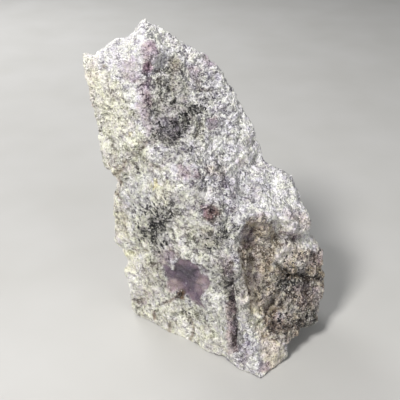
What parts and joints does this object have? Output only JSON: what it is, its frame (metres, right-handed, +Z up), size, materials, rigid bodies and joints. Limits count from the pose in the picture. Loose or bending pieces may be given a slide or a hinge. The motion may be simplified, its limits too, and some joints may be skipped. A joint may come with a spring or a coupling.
{
  "type": "raw lepidolite stone",
  "caption": "Raw lump of fine-grained lilac mica rock, a tall broken wedge that stands on its flat broken foot.",
  "frame": {"origin": "middle of the bounding box, on the ground that the stone stands on", "axes": "+Z up to the peak, -Y out of the broad pale front face and the front foot, +X towards the swelling lobe on the right"},
  "size_m": [0.0798, 0.0628, 0.106],
  "materials": {
    "lilac_stone": "rough, with pearly flakes"
  },
  "bodies": {
    "root": {"lepidolite": "lilac_stone"}
  },
  "joints": []
}
